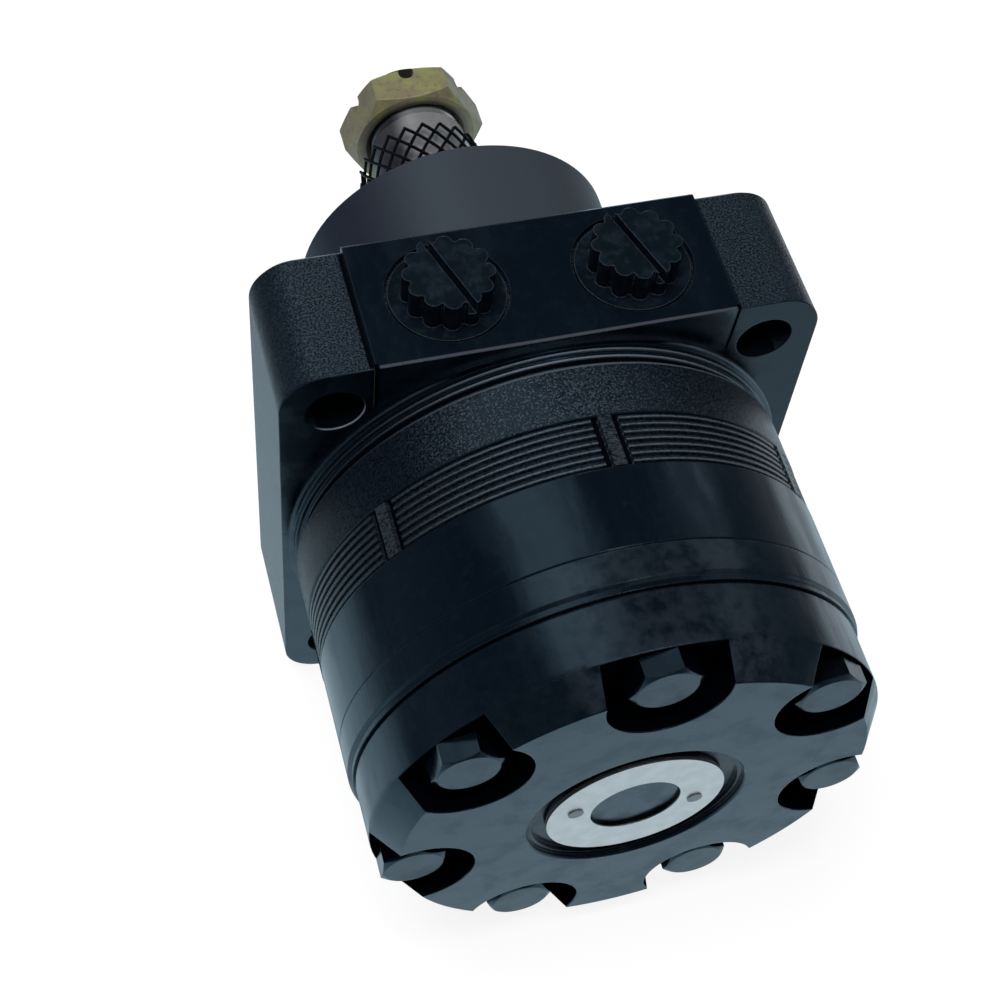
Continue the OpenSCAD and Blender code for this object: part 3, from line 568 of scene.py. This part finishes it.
def turned_steel(tint, roughness, thread=None):
    """Bare steel with fine turning lines around the shaft's axis; given a thread, painted shade on the
    shaft's left side and darker painted shade along the thread.
    """
    def surface(tree, where, axes):
        lines = noise(tree, where, 0.35 * MM, 3.0, 0.7, (60, 1, 60))
        drift = noise(tree, where, 5 * MM, 4.0, 0.6)
        darker = rgba(*[c * 0.82 for c in tint])
        colour = mix_colour(tree, ramp(tree, drift, 0.35, 0.7), darker, rgba(*tint))
        if thread:
            # painted shade on the shaft's left side
            painted_shade_left = turn_angle(tree, axes, -40, -14, 1.0, 0.0)
            colour = mix_colour(tree, painted_shade_left, colour, STEEL_PAINTED_SHADE)
            # painted shade along the thread, for the dark inside of the nut's slot
            within = between(tree, axes[1], *thread, 0.3 * MM)
            colour = mix_colour(tree, within, colour, THREAD_PAINTED_SHADE)
        return {
            "Base Color": colour,
            "Metallic": 0.7,
            "Roughness": ramp(tree, drift, 0.3, 0.7, roughness - 0.05, roughness + 0.08),
            "Normal": bump(tree, lines, 0.03 * MM, 0.5),
        }
    return surface


def zinc_plating(tree, where, axes):
    """Yellow passivated zinc: straw tone that drifts to brown, with grime, bright edges, and painted shade
    in the mouth and on the left and right flanks.
    """
    drift = noise(tree, where, 5 * MM, 3.0, 0.55)
    grime = noise(tree, where, 1.4 * MM, 5.0, 0.7)
    edges = times(tree, edge_mask(tree, 0.6 * MM, 0.03, 0.3), 0.8)
    # painted shade in the nut's mouth
    mouth = times(tree, ramp(tree, axes[1], NUT_BACK + 1.5 * MM, NUT_BACK + 4.0 * MM, 1.0, 0.0),
                  ramp(tree, distance_out(tree, axes), 14.6 * MM, 16.2 * MM, 1.0, 0.0), 0.8)
    # painted shade on the nut's left and right flanks
    flank = ramp(tree, absolute(tree, axes[0]), 10 * MM, 13 * MM, 0.0, 0.55)
    colour = mix_colour(tree, ramp(tree, drift, 0.38, 0.62), ZINC_STRAW, ZINC_BROWN)
    colour = mix_colour(tree, ramp(tree, grime, 0.50, 0.75, 0.0, 0.7), colour, ZINC_GRIME)
    for mask, over in ((edges, ZINC_EDGE), (mouth, ZINC_MOUTH_SHADE), (flank, ZINC_FLANK_SHADE)):
        colour = mix_colour(tree, mask, colour, over)
    return {
        "Base Color": colour,
        "Metallic": 0.5,
        "Roughness": ramp(tree, grime, 0.3, 0.7, 0.28, 0.46),
        "Normal": bump(tree, grime, 0.05 * MM, 0.7, rounded_normal(tree, 0.4 * MM)),
    }


def satin_plate(tree, where, axes):
    """Bright satin plate with a fine speckle and painted shade in its bore."""
    speck = noise(tree, where, 0.5 * MM, 3.0, 0.7)
    drift = noise(tree, where, 4 * MM, 3.0)
    # painted shade in the bore
    bore = times(tree, ramp(tree, axes[1], RING_FACE + 0.2 * MM, RING_FACE + 0.4 * MM),
                 ramp(tree, distance_out(tree, axes), RING_HOLE_RADIUS + 0.1 * MM,
                      RING_HOLE_RADIUS + 0.2 * MM, 1.0, 0.0))
    colour = mix_colour(tree, ramp(tree, drift, 0.35, 0.7), SATIN_DULL, SATIN_BRIGHT)
    colour = mix_colour(tree, ramp(tree, speck, 0.62, 0.75, 0.0, 0.5), colour, SATIN_SPECK)
    return {
        "Base Color": mix_colour(tree, bore, colour, SATIN_BORE_SHADE),
        "Metallic": 0.95,
        "Roughness": ramp(tree, speck, 0.3, 0.7, 0.38, 0.52),
        "Normal": bump(tree, speck, 0.02 * MM, 0.5),
    }


# plastic and rubber

def moulded_plastic(tree, where, axes):
    """Black moulded polyethylene with flow marks, scuffs and painted highlights along the edges."""
    flow = noise(tree, where, 3.5 * MM, 3.0, 0.6)
    scuff = noise(tree, where, 0.8 * MM, 5.0, 0.75)
    # painted highlight along the edges
    edges = times(tree, edge_mask(tree, 0.4 * MM, 0.03, 0.3), 0.8)
    patch = times(tree, ramp(tree, flow, 0.45, 0.62), ramp(tree, scuff, 0.35, 0.65))
    colour = mix_colour(tree, patch, PLASTIC_DARK, PLASTIC_SCUFF)
    return {
        "Base Color": mix_colour(tree, edges, colour, PLASTIC_EDGE_HIGHLIGHT),
        "Specular IOR Level": ramp(tree, axes[2], PAD_TOP + 0.4 * MM, PAD_TOP + 0.8 * MM, 0.22, 0.5),
        "Roughness": ramp(tree, flow, 0.3, 0.7, 0.24, 0.40),
        "Specular Tint": PAINT_TINT,
        "IOR": 1.7,
        "Normal": bump(tree, flow, 0.12 * MM, 0.6, rounded_normal(tree, 0.3 * MM)),
    }


def net_plastic(tree, where, axes):
    """Black knitted net: matt, with a little dust."""
    dust = noise(tree, where, 1.2 * MM, 4.0, 0.65)
    return {
        "Base Color": mix_colour(tree, ramp(tree, dust, 0.55, 0.75), NET_DARK, NET_DUST),
        "Specular IOR Level": 0.3,
        "Roughness": ramp(tree, dust, 0.3, 0.7, 0.45, 0.60),
        "Normal": bump(tree, dust, 0.05 * MM, 0.5),
    }


def soft_rubber(tree, where, axes):
    """Black nitrile rubber."""
    skin = noise(tree, where, 0.5 * MM, 3.0, 0.6)
    return {
        "Base Color": mix_colour(tree, ramp(tree, skin, 0.4, 0.7), RUBBER_DARK, RUBBER_DUST),
        "Roughness": ramp(tree, skin, 0.3, 0.7, 0.48, 0.62),
        "Normal": bump(tree, skin, 0.02 * MM, 0.5),
    }


def dress_nodes():
    """Gives every CAD node the material of its record slot, or a more exact one."""
    by_slot = {
        "dark_paint": material("dark_paint", smooth_paint),
        "steel": material("steel", turned_steel(SHAFT_STEEL, 0.36, thread=THREAD)),
        "hardened_steel": material("hardened_steel", turned_steel(HARDENED_STEEL, 0.22)),
        "bright_plate": material("bright_plate", satin_plate),
        "yellow_zinc": material("yellow_zinc", zinc_plating),
        "black_plastic": material("black_plastic", moulded_plastic),
        "rubber": material("rubber", soft_rubber),
    }
    by_node = {
        "housing": material("cast_paint", housing_paint),
        "manifold": material("plates_paint", plates_paint),
        "end_plate": material("end_plate_paint", end_plate_paint),
        "end_cover": material("cover_paint", cover_paint),
        "cover_bolts": material("bolt_paint", bolt_paint),
        "plate_pins": material("pin_steel", turned_steel(PIN_STEEL, 0.42)),
    }
    for part in frame["record"]["subparts"]:
        mesh = frame["nodes"][part["node"]].data
        chosen = by_node.get(part["node"], by_slot[part["material_slot"]])
        for index in range(len(mesh.materials)):
            mesh.materials[index] = chosen
        if not mesh.materials:
            mesh.materials.append(chosen)


# net sleeve

NET_STRANDS = 21
NET_STEPS = 60
NET_SHIFT = -1.4 * MM
NET_DIAMOND = 7.0 * MM
STRAND_RADIUS = 0.46 * MM
STRAND_SIDES = 6

# the sleeve's middle radius at places along the shaft
NET_PROFILE = ((48.3 * MM, 17.80 * MM), (74.7 * MM, 17.15 * MM), (79.1 * MM, 16.55 * MM))


def net_radius(y):
    """The sleeve's middle radius at a distance along the shaft."""
    for (y0, r0), (y1, r1) in zip(NET_PROFILE, NET_PROFILE[1:]):
        if y <= y1 or (y1, r1) == NET_PROFILE[-1]:
            return r0 + (r1 - r0) * (y - y0) / (y1 - y0)


def net_point(turn, y, lift):
    """A point of the sleeve, lifted off its middle radius."""
    radius = net_radius(y) + lift
    return Vector((NET_SHIFT + radius * math.sin(turn), y, radius * math.cos(turn)))


def sweep(verts, faces, path, radius, sides):
    """A round tube along a path, closed at both ends, added to the mesh lists."""
    first = len(verts)
    for i, point in enumerate(path):
        along = (path[min(i + 1, len(path) - 1)] - path[max(i - 1, 0)]).normalized()
        side = along.cross(Vector((0, 1, 0.01))).normalized()
        up = side.cross(along)
        for k in range(sides):
            a = 2 * math.pi * k / sides
            verts.append(point + radius * (math.cos(a) * side + math.sin(a) * up))
    for i in range(len(path) - 1):
        for k in range(sides):
            a = first + i * sides + k
            b = first + i * sides + (k + 1) % sides
            faces.append((a, b, b + sides, a + sides))
    faces.append(tuple(range(first + sides - 1, first - 1, -1)))
    last = first + (len(path) - 1) * sides
    faces.append(tuple(range(last, last + sides)))


def new_mesh(name, verts, faces, smooth=True):
    """A linked mesh object whose faces all look outwards."""
    mesh = bpy.data.meshes.new(name)
    mesh.from_pydata([tuple(v) for v in verts], [], faces)
    made = bmesh.new()
    made.from_mesh(mesh)
    bmesh.ops.recalc_face_normals(made, faces=made.faces)
    made.to_mesh(mesh)
    made.free()
    for polygon in mesh.polygons:
        polygon.use_smooth = smooth
    piece = bpy.data.objects.new(name, mesh)
    bpy.context.scene.collection.objects.link(piece)
    return piece


def add_net(plastic):
    """Two families of strands that wind around the taper and cross in diamonds."""
    back, front = NET_PROFILE[0][0], NET_PROFILE[-1][0]
    half_step = math.pi / NET_STRANDS
    rows = (front - back) / (NET_DIAMOND / 2)
    verts, faces = [], []
    for hand in (-1, 1):
        for k in range(NET_STRANDS):
            path = []
            for i in range(NET_STEPS + 1):
                share = i / NET_STEPS
                turn = half_step * (2 * k + hand * rows * (1 - share))
                path.append(net_point(turn, back + (front - back) * share, hand * STRAND_RADIUS / 2))
            sweep(verts, faces, path, STRAND_RADIUS, STRAND_SIDES)
    net = new_mesh("net_strands", verts, faces)
    net.data.materials.append(plastic)
    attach(net, "output_shaft")
    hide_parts("net_sleeve")


# room

FLOOR_HALF_SIZE = 3.0
GLOW_MIDDLE = (0.12, -0.12, FLOOR_HEIGHT)
LAMP_TARGET = Vector((0, -0.04, 0))

# name, place, side in metres, power in watts, and whether glossy surfaces show the lamp
LAMPS = (
    ("window_left", (-0.31, 0.60, 1.07), 0.62, 0.62, True),
    ("window_right", (0.90, 0.64, 0.65), 0.36, 0.18, True),
    ("edge_over", (0.20, -0.30, 1.22), 0.30, 1.1, True),
    ("edge_back", (0.25, 1.15, 0.28), 0.40, 0.5, True),
    ("lamp_high", (-0.28, -0.05, 1.28), 0.8, 14, False),
)


def add_floor():
    """A white table that keeps the object's shadow; glossy paint mirrors mostly the part close by, where the
    table glows only in reflections as a painted reflection, dimmer and bluer on the left.
    """
    corners = [(x * FLOOR_HALF_SIZE, y * FLOOR_HALF_SIZE, FLOOR_HEIGHT)
               for x, y in ((-1, -1), (1, -1), (1, 1), (-1, 1))]
    floor = new_mesh("floor", corners, [(0, 1, 2, 3)], smooth=False)
    made = bpy.data.materials.new("floor")
    made.use_nodes = True
    tree = made.node_tree
    tree.nodes.clear()
    rays = tree.nodes.new("ShaderNodeLightPath").outputs
    where = node(tree, "TexCoord", out=3)
    away = vector_node(tree, "DISTANCE", where, GLOW_MIDDLE, out=1)

    glow = node(tree, "Emission", None,
                {"Color": WHITE, "Strength": ramp(tree, away, 0.4, 1.4, 0.88, 1.0)})
    shadowed = node(tree, "BsdfDiffuse", None, {"Color": FLOOR_SHADOW})
    shown = node(tree, "AddShader", None, {0: shadowed, 1: glow})
    plain = node(tree, "BsdfDiffuse", None, {"Color": FLOOR_PLAIN})
    seen = node(tree, "MixShader", None, {0: rays["Is Camera Ray"], 1: plain, 2: shown})

    # painted reflection: for glossy rays the table glows, bluer on the left and fading away from the middle
    right = ramp(tree, separate(tree, where)[0], 0.10, 0.25)
    shade = mix_colour(tree, right, FLOOR_GLOW_IN_REFLECTIONS_LEFT, FLOOR_GLOW_IN_REFLECTIONS_RIGHT)
    near = ramp(tree, away, 0.22, 0.52, 1.0, 0.10)
    reflected_glow = node(tree, "Emission", None, {"Color": shade, "Strength": near})
    mirrored = math_node(tree, "MAXIMUM", rays["Is Glossy Ray"], rays["Is Transmission Ray"])
    surface = node(tree, "MixShader", None, {0: mirrored, 1: seen, 2: reflected_glow})
    tree.links.new(surface, tree.nodes.new("ShaderNodeOutputMaterial").inputs["Surface"])
    floor.data.materials.append(made)


def add_world():
    """White where the camera sees it, and a dim bluish room for the light and the reflections."""
    world = bpy.data.worlds.new("room")
    bpy.context.scene.world = world
    world.use_nodes = True
    tree = world.node_tree
    tree.nodes.clear()
    rays = tree.nodes.new("ShaderNodeLightPath").outputs
    direction = node(tree, "TexCoord", out=0)
    strength = ramp(tree, separate(tree, direction)[2], 0.0, 0.5, 0.10, 0.035)
    room = node(tree, "Background", None, {"Color": ROOM_TINT, "Strength": strength})
    white = node(tree, "Background", None, {"Color": WHITE, "Strength": 1.0})
    surface = node(tree, "MixShader", None, {0: rays["Is Camera Ray"], 1: room, 2: white})
    tree.links.new(surface, tree.nodes.new("ShaderNodeOutputWorld").inputs["Surface"])


def add_lamps():
    """Two dim windows that streak the stack, two lamps for the edges, and one for dull surfaces."""
    for name, place, size, power, mirrored in LAMPS:
        data = bpy.data.lights.new(name, "AREA")
        data.size = size
        data.energy = power
        lamp = bpy.data.objects.new(name, data)
        lamp.location = place
        lamp.rotation_euler = (LAMP_TARGET - Vector(place)).to_track_quat("-Z", "Y").to_euler()
        lamp.visible_glossy = mirrored
        bpy.context.scene.collection.objects.link(lamp)


add_camera()
add_world()
add_floor()
add_lamps()
dress_nodes()
add_net(material("net_plastic", net_plastic))

bpy.context.scene.view_settings.view_transform = "Standard"
